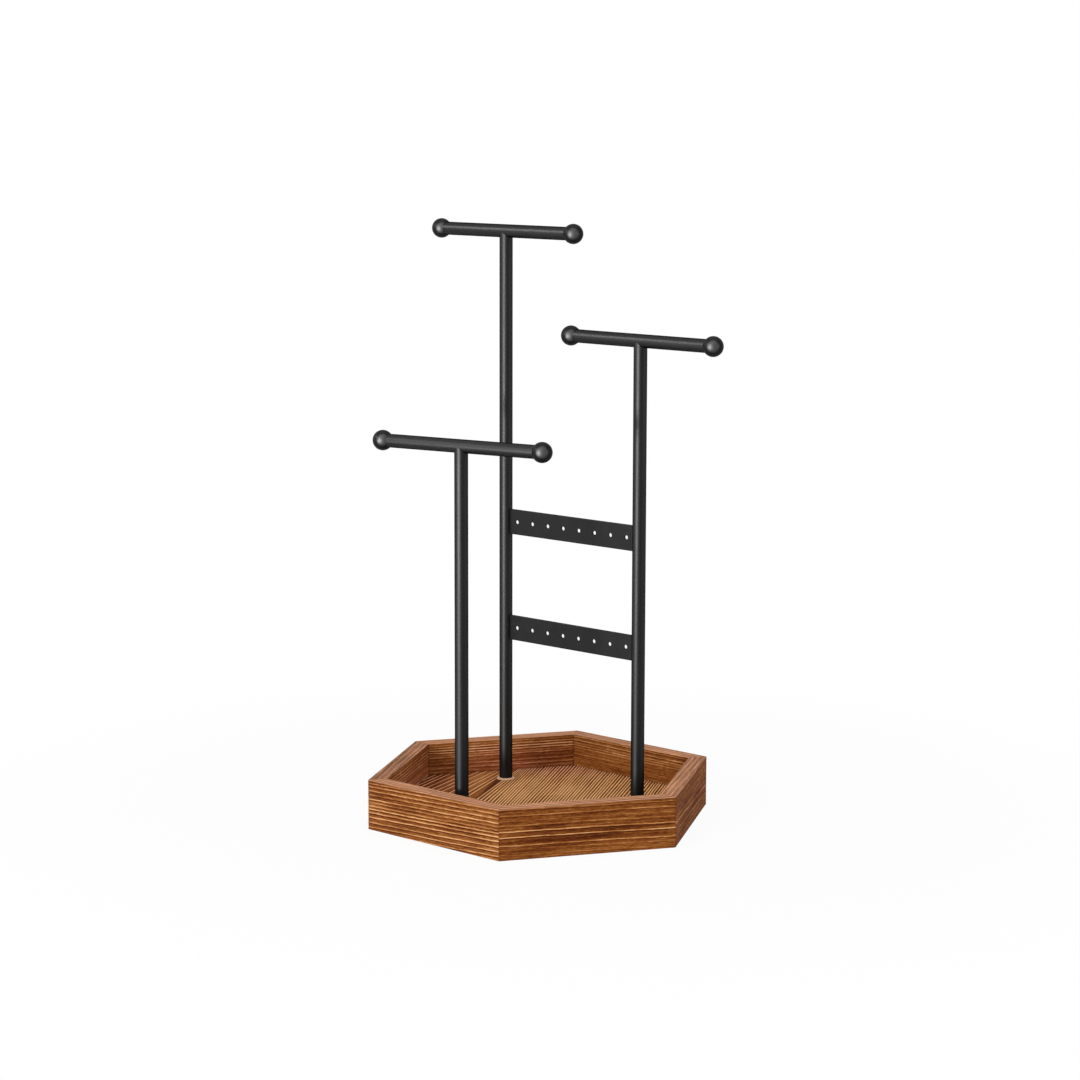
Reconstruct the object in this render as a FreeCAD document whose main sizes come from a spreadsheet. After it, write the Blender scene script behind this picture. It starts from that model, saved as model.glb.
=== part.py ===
import FreeCAD, Part
import os
import Sketcher

# A jewellery stand: an open six-sided wooden tray that carries three T-shaped metal posts.
# Millimetres. +Z is up and +X runs along the earring strips. The origin is the centre of the
# hexagon, level with the underside of the walls. The short post stands on the -Y side.

doc = FreeCAD.newDocument("jewellery_stand")
sheet = doc.addObject("Spreadsheet::Sheet", "sizes")

# Driving dimensions: name, value, meaning.
DRIVING_SIZES = [
    ("tray_across_flats", 184.5, "between the outer faces of opposite walls"),
    ("wall_height", 30, "height of the tray's walls"),
    ("wall_thickness", 10.5, "thickness of the tray's walls"),
    ("edge_ease", 0.8, "bevel along the long edges of each wall"),
    ("floor_underside", 5, "height of the floor panel above the table"),
    ("floor_thickness", 5, "thickness of the floor panel"),
    ("groove_depth", 4, "how far the floor panel enters each wall"),
    ("groove_end_gap", 0.3, "room for the panel to swell at the bottom of the groove"),
    ("groove_slip", 0.05, "gap between the panel and each side of the groove"),
    ("post_diameter", 8, "outside of the post tube"),
    ("post_wall", 1, "wall of the post tube"),
    ("short_post_inset", 14.25, "axis of the short post from the inner face of the front wall"),
    ("post_row_depth", 94.2, "from the short post to the row of the other two"),
    ("side_post_inset", 21.85, "axis of the tall and middle posts from the nearest inner wall face"),
    ("short_bar_height", 230.2, "axis of the short post's crossbar above the table"),
    ("middle_bar_rise", 57.8, "from the short post's crossbar up to the middle one's"),
    ("tall_bar_rise", 60, "from the middle post's crossbar up to the tall one's"),
    ("short_post_turn", 11, "degrees that the short post's crossbar stands turned at rest"),
    ("bar_diameter", 8, "crossbar"),
    ("bar_ball_spacing", 109, "between the centres of a crossbar's two balls"),
    ("cope_gap", 0.03, "brazing gap between a post and its crossbar"),
    ("ball_diameter", 12, "ball on the end of a crossbar"),
    ("spigot_diameter", 5, "turned-down end of a crossbar, inside the ball"),
    ("spigot_length", 5, "how far the turned-down end enters the ball"),
    ("spigot_fit", 0.03, "radial gap between the turned-down end and the ball"),
    ("spigot_end_gap", 0.4, "gap between the turned-down end and the bottom of its bore"),
    ("strip_height", 15.5, "height of an earring strip"),
    ("strip_thickness", 1, "thickness of an earring strip"),
    ("strip_reach", 2.5, "how far a strip's end passes inside the outside of a post"),
    ("strip_fit", 0.05, "gap round a strip's end in its slot"),
    ("lower_strip_level", 106, "centre line of the lower strip above the table"),
    ("strip_rise", 65.6, "from the lower strip's centre line to the upper one's"),
    ("hole_diameter", 2.4, "earring hole"),
    ("hole_pitch", 12.6, "between earring holes"),
    ("hole_end_margin", 9.5, "least distance from the last earring hole to the post's axis"),
    ("ring_diameter", 11.0, "seat ring round a post's foot"),
    ("ring_thickness", 1.0, "seat ring"),
    ("ring_bevel", 0.3, "bevel on the seat ring's upper edge"),
    ("screw_diameter", 4, "thread of the screw in a post's foot"),
    ("screw_engagement", 12, "how far the screw enters the foot plug"),
    ("screw_end_gap", 1, "room past the end of the screw"),
    ("thread_fit", 0.04, "radial gap between the screw and the plug"),
    ("screw_running_fit", 0.08, "radial gap between the screw and the floor panel"),
    ("head_diameter", 7.6, "screw head"),
    ("head_height", 2.2, "screw head"),
    ("head_bevel", 0.8, "bevel on the screw head's outer edge"),
    ("key_size", 2.5, "across the flats of the hexagon socket in the screw head"),
    ("key_depth", 1.3, "hexagon socket in the screw head"),
    ("plug_length", 16, "foot plug"),
    ("plug_fit", 0.03, "radial gap between the plug and the post tube"),
    ("washer_diameter", 12, "washer under the screw head"),
    ("washer_thickness", 1, "washer under the screw head"),
    ("loose_fit", 0.35, "radial gap between the screw and what it only passes through"),
]

for row, (alias, value, meaning) in enumerate(DRIVING_SIZES, start=1):
    sheet.set(f"A{row}", alias)
    sheet.set(f"B{row}", str(value))
    sheet.set(f"C{row}", meaning)
    sheet.setAlias(f"B{row}", alias)
doc.recompute()

# Worked out from the driving dimensions.
OUTER_APOTHEM = "(sizes.tray_across_flats / 2)"
INNER_APOTHEM = f"({OUTER_APOTHEM} - sizes.wall_thickness)"
FLOOR_TOP = "(sizes.floor_underside + sizes.floor_thickness)"
FLOOR_APOTHEM = f"({INNER_APOTHEM} + sizes.groove_depth - sizes.groove_end_gap)"
POST_FOOT = f"({FLOOR_TOP} + sizes.ring_thickness)"
POST_RADIUS = "(sizes.post_diameter / 2)"
TUBE_BORE_RADIUS = f"({POST_RADIUS} - sizes.post_wall)"
BAR_RADIUS = "(sizes.bar_diameter / 2)"
SCREW_RADIUS = "(sizes.screw_diameter / 2)"
SHORT_POST_Y = f"(sizes.short_post_inset - {INNER_APOTHEM})"
POST_ROW_Y = f"({SHORT_POST_Y} + sizes.post_row_depth)"
# The tall and middle posts keep their inset from the slanted back walls, whose normals lie
# 30 degrees above the X axis.
SIDE_POST_X = f"(({INNER_APOTHEM} - sizes.side_post_inset - {POST_ROW_Y} * sin(30)) / cos(30))"
MIDDLE_BAR_HEIGHT = "(sizes.short_bar_height + sizes.middle_bar_rise)"
TALL_BAR_HEIGHT = f"({MIDDLE_BAR_HEIGHT} + sizes.tall_bar_rise)"
STRIP_END = f"({SIDE_POST_X} - {POST_RADIUS} + sizes.strip_reach)"
# A ball is cut flat where its surface meets the bar, this far from its centre.
BALL_FLAT = f"(sqrt((sizes.ball_diameter / 2)^2 - {BAR_RADIUS}^2))"
HOLE_COUNT = f"floor(2 * ({SIDE_POST_X} - sizes.hole_end_margin) / sizes.hole_pitch) + 1"
UPPER_STRIP_LEVEL = "(sizes.lower_strip_level + sizes.strip_rise)"


def size_of(expression):
    """The present value of an expression, as a plain number."""
    value = sheet.evalExpression(expression)
    return getattr(value, "Value", value)


def new_body(name):
    body = doc.addObject("PartDesign::Body", name)
    body.Label = name
    return body


def place(item, x=None, y=None, z=None, turn=None):
    """Bind an item's position, and its turn about Z, to expressions."""
    for axis, expression in (("x", x), ("y", y), ("z", z)):
        if expression is not None:
            item.setExpression(f"Placement.Base.{axis}", expression)
    if turn is not None:
        item.Placement.Rotation.Axis = FreeCAD.Vector(0, 0, 1)
        item.setExpression("Placement.Rotation.Angle", turn)


def new_sketch(body, name, plane, lift=None):
    """A sketch on one of the body's own origin planes, raised along its normal by lift."""
    sketch = body.newObject("Sketcher::SketchObject", f"{body.Name}_{name}")
    support = [feature for feature in body.Origin.OriginFeatures if feature.Role == plane][0]
    sketch.AttachmentSupport = [(support, "")]
    sketch.MapMode = "FlatFace"
    if lift is not None:
        sketch.setExpression("AttachmentOffset.Base.z", lift)
    return sketch


def bind_constraint(sketch, name, constraint, expression):
    index = sketch.addConstraint(constraint)
    sketch.renameConstraint(index, name)
    sketch.setExpression(f"Constraints.{name}", expression)


def bind_point(sketch, name, geometry, point, x, y):
    """Dimension one point of a sketch from the sketch's origin."""
    across = Sketcher.Constraint("DistanceX", -1, 1, geometry, point, size_of(x))
    bind_constraint(sketch, f"{name}_x", across, x)
    upward = Sketcher.Constraint("DistanceY", -1, 1, geometry, point, size_of(y))
    bind_constraint(sketch, f"{name}_y", upward, y)


def add_outline(sketch, name, corners):
    """Add a closed outline of straight lines, with every corner dimensioned."""
    points = [FreeCAD.Vector(size_of(x), size_of(y), 0) for x, y in corners]
    first = len(sketch.Geometry)
    count = len(points)
    for index in range(count):
        sketch.addGeometry(Part.LineSegment(points[index], points[(index + 1) % count]))
    for index in range(count):
        following = first + (index + 1) % count
        sketch.addConstraint(Sketcher.Constraint("Coincident", first + index, 2, following, 1))
    for index, (x, y) in enumerate(corners):
        bind_point(sketch, f"{name}{index}", first + index, 1, x, y)


def add_circle(sketch, name, x, y, radius):
    centre = FreeCAD.Vector(size_of(x), size_of(y), 0)
    circle = Part.Circle(centre, FreeCAD.Vector(0, 0, 1), size_of(radius))
    index = sketch.addGeometry(circle)
    bind_constraint(sketch, f"{name}_radius", Sketcher.Constraint("Radius", index, size_of(radius)), radius)
    bind_point(sketch, name, index, 3, x, y)


def pad(body, sketch, length, symmetric=False):
    feature = body.newObject("PartDesign::Pad", f"{sketch.Name}_pad")
    feature.Profile = sketch
    feature.setExpression("Length", length)
    feature.SideType = "Symmetric" if symmetric else "One side"
    sketch.Visibility = False
    doc.recompute()
    return feature


def pocket(body, sketch, length=None, symmetric=True, reverse=False):
    """Cut a sketch out of the body, right through unless a length is given."""
    volume_before = body.Shape.Volume
    feature = body.newObject("PartDesign::Pocket", f"{sketch.Name}_pocket")
    feature.Profile = sketch
    feature.SideType = "Symmetric" if symmetric else "One side"
    feature.Reversed = reverse
    if length is None:
        feature.Type = "ThroughAll"
    else:
        feature.setExpression("Length", length)
    sketch.Visibility = False
    doc.recompute()
    if body.Shape.Volume >= volume_before:
        raise RuntimeError(f"{feature.Name} cuts nothing")
    return feature


def turned_body(name, half_section, axis_role="Z_Axis"):
    """A body turned on a lathe: its half section (along X and Z) revolved about one of those axes."""
    body = new_body(name)
    sketch = new_sketch(body, "half_section", "XZ_Plane")
    add_outline(sketch, "corner", half_section)
    feature = body.newObject("PartDesign::Revolution", f"{name}_revolution")
    feature.Profile = sketch
    axis = [item for item in body.Origin.OriginFeatures if item.Role == axis_role][0]
    feature.ReferenceAxis = (axis, [""])
    feature.Angle = 360
    sketch.Visibility = False
    return body


def hexagon(apothem):
    """The corners of a hexagon, two of them on the X axis, from its half width across flats."""
    radius = f"{apothem} / cos(30)"
    turns = [corner * 360 / 6 for corner in range(6)]
    return [(f"{radius} * cos({turn})", f"{radius} * sin({turn})") for turn in turns]


# The tray's walls: one board profile with a groove for the floor panel, mitred at both ends.

OUTER_HALF_SIDE = f"({OUTER_APOTHEM} * tan(30))"
INNER_HALF_SIDE = f"({INNER_APOTHEM} * tan(30))"
GROOVE_BOTTOM_Y = f"(-{INNER_APOTHEM} - sizes.groove_depth)"
GROOVE_LOW = "(sizes.floor_underside - sizes.groove_slip)"
GROOVE_HIGH = f"({FLOOR_TOP} + sizes.groove_slip)"


def make_wall(name, turn):
    """A wall built on the -Y side and turned about the tray's centre."""
    body = new_body(name)
    profile = new_sketch(body, "profile", "YZ_Plane")
    outside = f"-{OUTER_APOTHEM}"
    inside = f"-{INNER_APOTHEM}"
    add_outline(profile, "corner", [
        (f"{outside} + sizes.edge_ease", "0"),
        (f"{inside} - sizes.edge_ease", "0"),
        (inside, "sizes.edge_ease"),
        (inside, GROOVE_LOW),
        (GROOVE_BOTTOM_Y, GROOVE_LOW),
        (GROOVE_BOTTOM_Y, GROOVE_HIGH),
        (inside, GROOVE_HIGH),
        (inside, "sizes.wall_height - sizes.edge_ease"),
        (f"{inside} - sizes.edge_ease", "sizes.wall_height"),
        (f"{outside} + sizes.edge_ease", "sizes.wall_height"),
        (outside, "sizes.wall_height - sizes.edge_ease"),
        (outside, "sizes.edge_ease"),
    ])
    pad(body, profile, f"2 * {OUTER_HALF_SIDE}", symmetric=True)
    mitres = new_sketch(body, "mitres", "XY_Plane")
    for side, sign in (("left", "-"), ("right", "")):
        add_outline(mitres, side, [
            (f"{sign}{OUTER_HALF_SIDE}", outside),
            (f"{sign}{OUTER_HALF_SIDE}", inside),
            (f"{sign}{INNER_HALF_SIDE}", inside),
        ])
    pocket(body, mitres)
    place(body, turn=turn)
    return body


WALL_SIDES = ["front", "front_right", "back_right", "back", "back_left", "front_left"]
walls = [
    make_wall(f"tray_wall_{side}", f"{index} * 360 / {len(WALL_SIDES)}")
    for index, side in enumerate(WALL_SIDES)
]

# The posts: their places, the heights of their bars, and how each post and bar is turned.
# The tall and the middle post face each other with the slots that hold the strips.

POSTS = {
    "tall": {
        "x": f"-{SIDE_POST_X}",
        "y": POST_ROW_Y,
        "bar": TALL_BAR_HEIGHT,
        "post_turn": "0",
        "bar_turn": "0",
    },
    "middle": {
        "x": SIDE_POST_X,
        "y": POST_ROW_Y,
        "bar": MIDDLE_BAR_HEIGHT,
        "post_turn": "180",
        "bar_turn": "0",
    },
    "short": {
        "x": "0",
        "y": SHORT_POST_Y,
        "bar": "sizes.short_bar_height",
        "post_turn": "sizes.short_post_turn",
        "bar_turn": "sizes.short_post_turn",
    },
}


def make_floor():
    """The floor panel, a hexagon held in the walls' grooves, with a hole under each post."""
    body = new_body("tray_floor")
    panel = new_sketch(body, "panel", "XY_Plane", lift="sizes.floor_underside")
    add_outline(panel, "corner", hexagon(FLOOR_APOTHEM))
    pad(body, panel, "sizes.floor_thickness")
    holes = new_sketch(body, "screw_holes", "XY_Plane")
    for name, post in POSTS.items():
        add_circle(holes, name, post["x"], post["y"], f"{SCREW_RADIUS} + sizes.screw_running_fit")
    pocket(body, holes)
    return body


floor_panel = make_floor()


def make_post(name, bar_height, slotted):
    """A post tube, coped on top for its crossbar, slotted on its +X side for the strips."""
    body = new_body(f"{name}_post")
    section = new_sketch(body, "section", "XY_Plane", lift=POST_FOOT)
    add_circle(section, "outside", "0", "0", POST_RADIUS)
    add_circle(section, "bore", "0", "0", TUBE_BORE_RADIUS)
    pad(body, section, f"{bar_height} - {POST_FOOT}")
    cope = new_sketch(body, "cope", "YZ_Plane")
    add_circle(cope, "bar", "0", bar_height, f"{BAR_RADIUS} + sizes.cope_gap")
    pocket(body, cope)
    if slotted:
        slots = new_sketch(body, "slots", "YZ_Plane")
        for strip, level in (("lower", "sizes.lower_strip_level"), ("upper", UPPER_STRIP_LEVEL)):
            half_width = "(sizes.strip_thickness / 2 + sizes.strip_fit)"
            half_height = "(sizes.strip_height / 2 + sizes.strip_fit)"
            add_outline(slots, strip, [
                (f"-{half_width}", f"{level} - {half_height}"),
                (half_width, f"{level} - {half_height}"),
                (half_width, f"{level} + {half_height}"),
                (f"-{half_width}", f"{level} + {half_height}"),
            ])
        pocket(body, slots, symmetric=False, reverse=True)
    return body


def make_crossbar(name):
    """A round bar along X, turned down at both ends to enter its balls."""
    shoulder = f"(sizes.bar_ball_spacing / 2 - {BALL_FLAT})"
    end = f"({shoulder} + sizes.spigot_length)"
    spigot_radius = "(sizes.spigot_diameter / 2)"
    return turned_body(f"{name}_crossbar", [
        (f"-{end}", "0"),
        (end, "0"),
        (end, spigot_radius),
        (shoulder, spigot_radius),
        (shoulder, BAR_RADIUS),
        (f"-{shoulder}", BAR_RADIUS),
        (f"-{shoulder}", spigot_radius),
        (f"-{end}", spigot_radius),
    ], axis_role="X_Axis")


def make_ball(name, side):
    """A ball with a flat and a blind bore that face the bar, built with the bar on its -X side."""
    label = f"{name}_ball_{side}"
    sphere = doc.addObject("Part::Sphere", f"{label}_sphere")
    sphere.setExpression("Radius", "sizes.ball_diameter / 2")
    facing = doc.addObject("Part::Cylinder", f"{label}_facing")
    facing.setExpression("Radius", "sizes.ball_diameter")
    facing.setExpression("Height", "sizes.ball_diameter")
    facing.Placement.Rotation = FreeCAD.Rotation(FreeCAD.Vector(0, 1, 0), -90)
    facing.setExpression("Placement.Base.x", f"-{BALL_FLAT}")
    bore = doc.addObject("Part::Cylinder", f"{label}_bore")
    bore.setExpression("Radius", "sizes.spigot_diameter / 2 + sizes.spigot_fit")
    bore.setExpression("Height", "sizes.spigot_length + sizes.spigot_end_gap")
    bore.Placement.Rotation = FreeCAD.Rotation(FreeCAD.Vector(0, 1, 0), 90)
    bore.setExpression("Placement.Base.x", f"-{BALL_FLAT}")
    cutter = doc.addObject("Part::MultiFuse", f"{label}_cutter")
    cutter.Shapes = [facing, bore]
    ball = doc.addObject("Part::Cut", label)
    ball.Base = sphere
    ball.Tool = cutter
    ball.Label = label
    return ball


def make_foot_plug(name):
    """A plug in the foot of the tube, tapped from below."""
    outside = f"({TUBE_BORE_RADIUS} - sizes.plug_fit)"
    thread = f"({SCREW_RADIUS} + sizes.thread_fit)"
    thread_top = "(sizes.screw_engagement + sizes.screw_end_gap)"
    return turned_body(f"{name}_foot_plug", [
        (thread, "0"),
        (outside, "0"),
        (outside, "sizes.plug_length"),
        ("0", "sizes.plug_length"),
        ("0", thread_top),
        (thread, thread_top),
    ])


def make_seat_ring(name):
    """The ring that the post stands on, bevelled round its upper edge."""
    inside = f"({SCREW_RADIUS} + sizes.loose_fit)"
    outside = "(sizes.ring_diameter / 2)"
    return turned_body(f"{name}_seat_ring", [
        (inside, "0"),
        (outside, "0"),
        (outside, "sizes.ring_thickness - sizes.ring_bevel"),
        (f"{outside} - sizes.ring_bevel", "sizes.ring_thickness"),
        (inside, "sizes.ring_thickness"),
    ])


def make_washer(name):
    inside = f"({SCREW_RADIUS} + sizes.loose_fit)"
    outside = "sizes.washer_diameter / 2"
    return turned_body(f"{name}_washer", [
        (inside, "0"),
        (outside, "0"),
        (outside, "sizes.washer_thickness"),
        (inside, "sizes.washer_thickness"),
    ])


def make_screw(name):
    """A screw from below, with its seat (the underside of the head) at its own origin."""
    shank_top = (
        "(sizes.washer_thickness + sizes.floor_thickness + sizes.ring_thickness + sizes.screw_engagement)"
    )
    head_radius = "(sizes.head_diameter / 2)"
    body = turned_body(f"{name}_screw", [
        ("0", "-sizes.head_height"),
        (f"{head_radius} - sizes.head_bevel", "-sizes.head_height"),
        (head_radius, "-sizes.head_height + sizes.head_bevel"),
        (head_radius, "0"),
        (SCREW_RADIUS, "0"),
        (SCREW_RADIUS, shank_top),
        ("0", shank_top),
    ])
    doc.recompute()
    socket = new_sketch(body, "socket", "XY_Plane", lift="-sizes.head_height")
    add_outline(socket, "corner", hexagon("(sizes.key_size / 2)"))
    pocket(body, socket, length="sizes.key_depth", symmetric=False, reverse=True)
    return body


def make_t_post(name):
    """Everything that one post carries and stands on, each piece in its place."""
    post = POSTS[name]
    here = {"x": post["x"], "y": post["y"]}
    tube = make_post(name, post["bar"], slotted=name != "short")
    place(tube, **here, turn=post["post_turn"])
    crossbar = make_crossbar(name)
    place(crossbar, **here, z=post["bar"], turn=post["bar_turn"])
    pieces = [tube, crossbar]
    for side, toward in (("left", "180"), ("right", "0")):
        ball = make_ball(name, side)
        angle = f"({toward} + {post['bar_turn']})"
        place(
            ball,
            x=f"{post['x']} + sizes.bar_ball_spacing / 2 * cos({angle})",
            y=f"{post['y']} + sizes.bar_ball_spacing / 2 * sin({angle})",
            z=post["bar"],
            turn=angle,
        )
        pieces.append(ball)
    plug = make_foot_plug(name)
    place(plug, **here, z=POST_FOOT)
    ring = make_seat_ring(name)
    place(ring, **here, z=FLOOR_TOP)
    washer = make_washer(name)
    place(washer, **here, z="sizes.floor_underside - sizes.washer_thickness")
    screw = make_screw(name)
    place(screw, **here, z="sizes.floor_underside - sizes.washer_thickness", turn=post["bar_turn"])
    return pieces + [plug, ring, washer, screw]


t_posts = [piece for name in POSTS for piece in make_t_post(name)]


def make_strip(name, level):
    """A flat strip between the tall and the middle post, with a row of earring holes."""
    body = new_body(f"earring_strip_{name}")
    blank = new_sketch(body, "blank", "XZ_Plane")
    half_height = "sizes.strip_height / 2"
    add_outline(blank, "corner", [
        (f"-{STRIP_END}", f"-{half_height}"),
        (STRIP_END, f"-{half_height}"),
        (STRIP_END, half_height),
        (f"-{STRIP_END}", half_height),
    ])
    pad(body, blank, "sizes.strip_thickness", symmetric=True)
    first_hole = new_sketch(body, "first_hole", "XZ_Plane")
    row_half_length = f"({HOLE_COUNT} - 1) * sizes.hole_pitch / 2"
    add_circle(first_hole, "hole", f"-{row_half_length}", "0", "sizes.hole_diameter / 2")
    hole = pocket(body, first_hole)
    row = body.newObject("PartDesign::LinearPattern", f"{body.Name}_hole_row")
    row.Originals = [hole]
    row.Direction = ([item for item in body.Origin.OriginFeatures if item.Role == "X_Axis"][0], [""])
    row.Mode = "Spacing"
    row.setExpression("Offset", "sizes.hole_pitch")
    row.setExpression("Occurrences", HOLE_COUNT)
    body.Tip = row
    place(body, y=POST_ROW_Y, z=level)
    return body


strips = [
    make_strip("lower", "sizes.lower_strip_level"),
    make_strip("upper", UPPER_STRIP_LEVEL),
]

sub_parts = walls + [floor_panel] + t_posts + strips

doc.recompute()
for item in doc.Objects:
    if "Invalid" in item.State or "Error" in item.State:
        raise RuntimeError(f"{item.Name} failed: {item.State}")
for item in sub_parts:
    if item.Shape.isNull() or not item.Shape.isValid() or len(item.Shape.Solids) != 1:
        raise RuntimeError(f"{item.Label} is not one valid solid")

os.makedirs("parts", exist_ok=True)
for item in sub_parts:
    item.Shape.exportStep(f"parts/{item.Label}.step")
    box = item.Shape.BoundBox
    print(f"{item.Label}: {item.Shape.Volume:.1f} mm3, z {box.ZMin:.2f} to {box.ZMax:.2f}")

whole = Part.makeCompound([item.Shape for item in sub_parts]).BoundBox
print(f"whole: {whole.XLength:.2f} x {whole.YLength:.2f} x {whole.ZLength:.2f} mm")
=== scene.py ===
import bpy
import math
import random
import numpy as np
from mathutils import Matrix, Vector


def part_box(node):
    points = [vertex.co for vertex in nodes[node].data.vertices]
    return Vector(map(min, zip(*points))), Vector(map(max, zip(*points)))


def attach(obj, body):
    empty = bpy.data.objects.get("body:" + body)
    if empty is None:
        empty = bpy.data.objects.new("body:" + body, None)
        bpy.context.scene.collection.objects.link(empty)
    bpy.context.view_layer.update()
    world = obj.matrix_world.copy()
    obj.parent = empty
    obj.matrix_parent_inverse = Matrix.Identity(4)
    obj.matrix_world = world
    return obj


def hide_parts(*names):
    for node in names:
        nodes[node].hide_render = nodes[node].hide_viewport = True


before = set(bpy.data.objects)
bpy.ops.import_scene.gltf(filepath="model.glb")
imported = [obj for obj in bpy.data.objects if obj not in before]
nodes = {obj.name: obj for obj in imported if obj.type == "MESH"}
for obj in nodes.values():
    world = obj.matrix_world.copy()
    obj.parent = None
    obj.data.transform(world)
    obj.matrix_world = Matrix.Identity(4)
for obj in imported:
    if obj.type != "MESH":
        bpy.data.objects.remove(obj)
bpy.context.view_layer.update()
scene = bpy.context.scene
mm = 0.001
print("stand loaded:", len(nodes), "parts")


# small helpers for node trees

def feed(tree, socket, source):  # source is a plain number, a colour or another node's output
    if isinstance(source, bpy.types.NodeSocket):
        tree.links.new(source, socket)
    else:
        socket.default_value = source


def addNode(tree, kind, feeds=None, **settings):
    node = tree.nodes.new(kind)
    for name, value in settings.items():
        setattr(node, name, value)
    for name, source in (feeds or {}).items():
        feed(tree, node.inputs[name], source)
    return node


def calc(tree, operation, *sources):
    node = tree.nodes.new("ShaderNodeMath")
    node.operation = operation
    for socket, source in zip(node.inputs, sources):
        feed(tree, socket, source)
    return node.outputs[0]


def ramp(tree, value, low, high, start=0.0, end=1.0, smooth=True):
    node = addNode(tree, "ShaderNodeMapRange", interpolation_type="SMOOTHSTEP" if smooth else "LINEAR")
    for socket, source in zip(node.inputs, (value, low, high, start, end)):
        feed(tree, socket, source)
    return node.outputs[0]


def splitXyz(tree, vector):
    return addNode(tree, "ShaderNodeSeparateXYZ", {"Vector": vector}).outputs[:]


def joinXyz(tree, x, y, z):
    return addNode(tree, "ShaderNodeCombineXYZ", {"X": x, "Y": y, "Z": z}).outputs[0]


def noise(tree, vector, scale, detail=2.0, roughness=0.5):
    return addNode(tree, "ShaderNodeTexNoise", {
        "Vector": vector, "Scale": scale, "Detail": detail, "Roughness": roughness}).outputs[0]


def grain(tree, place, look):  # look: scale along, through and up the board, detail, roughness
    scale, detail, roughness = look
    stretched = addNode(tree, "ShaderNodeMapping", {"Vector": place, "Scale": scale}).outputs[0]
    return noise(tree, stretched, 1.0, detail, roughness)


def newMaterial(name):
    material = bpy.data.materials.new(name)
    material.use_nodes = True
    return material, material.node_tree, material.node_tree.nodes["Principled BSDF"]


def attribute(tree, name, vector=False):
    node = addNode(tree, "ShaderNodeAttribute", attribute_name=name)
    return node.outputs["Vector" if vector else "Fac"]


def colourSteps(tree, value, steps):
    node = addNode(tree, "ShaderNodeValToRGB", {"Fac": value})
    bar = node.color_ramp
    while len(bar.elements) < len(steps):
        bar.elements.new(0.5)
    for element, (place, colour) in zip(bar.elements, steps):
        element.position = place
        element.color = (*colour, 1)
    return node.outputs["Color"]


def shaded(tree, colour, amount):  # a plain colour made lighter or darker
    node = addNode(tree, "ShaderNodeVectorMath", {"Scale": amount}, operation="SCALE")
    node.inputs[0].default_value = colour
    return node.outputs[0]


def mixColours(tree, amount, first, second, blend="MIX"):
    node = addNode(tree, "ShaderNodeMix", data_type="RGBA", blend_type=blend)
    for socket, source in ((0, amount), (6, first), (7, second)):  # the factor and the two colours
        feed(tree, node.inputs[socket], source)
    return node.outputs[2]


def addBump(tree, shader, height, strength, depth):  # depth in mm
    bump = addNode(tree, "ShaderNodeBump", {"Height": height, "Strength": strength, "Distance": depth * mm})
    tree.links.new(bump.outputs[0], shader.inputs["Normal"])


def objectPlace(tree):
    return addNode(tree, "ShaderNodeTexCoord").outputs["Object"]


# brushed and torched softwood: light raised lines with a painted shadow under each, scorched hollows, a paler sanded
# rim, and scorch spots that paint light and shade as well

torchedWood = {
    "steps": [
        (0.00, (0.036, 0.007, 0.002)),
        (0.22, (0.095, 0.021, 0.004)),
        (0.42, (0.195, 0.058, 0.011)),
        (0.62, (0.320, 0.118, 0.027)),
        (0.82, (0.490, 0.218, 0.072)),
        (1.00, (0.660, 0.360, 0.155)),
    ],
    "restTone": 0.42,
    "lineGain": 0.86,
    "paintedShadowGain": 0.38,         # painted shadow in the hollow under each raised line
    # scorch marks together with painted light and shade, from spots on the boards and the panel
    "scorchAndPaintedLightGain": 0.28,
    # each grain: scale along, through and up the board, detail, roughness
    "fibres": ((75, 1300, 1300), 3.0, 0.60),
    "pores": ((340, 2400, 2400), 2.0, 0.60),
    "patches": ((28, 120, 150), 2.0, 0.50),
    "breaks": ((90, 500, 700), 2.0, 0.50),
    "rings": (1.6, 3.0, 0.60),  # rings to the mm, detail, roughness
    "gains": {"rings": 1.0, "fibres": 0.55, "pores": 0.72, "patches": 0.35},
    "lineBreaks": (0.28, 0.60, 0.78, 1.0),   # where the lines fade, and to how much
    "linePatches": (0.36, 0.62, 0.75, 1.08),
    "seam": (0.5, 0.14),       # mm from a mitre, and how much darker it is there
    "paintedBounceTint": (1.04, 0.90, 1.45),  # painted tint of the redder light bounced deep inside the tray
    "rimColour": (0.400, 0.193, 0.106),
    "rimWash": 0.80,
    "rimFibres": ((55, 620, 620), 3.0, 0.65),
    "rimGain": 1.3,
    "rimShade": (-0.1, 1.0, 0.40, 1.72),  # darkest and lightest tone, and the rim's shade there
    "rimFrom": (29.3, 29.9),   # mm above the table
    "roughness": (0.1, 0.9, 0.72, 0.55),  # a dark and a light tone, and the roughness there
    "specular": 0.03,
    "bump": (0.30, 0.15),      # strength, mm
}


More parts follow.
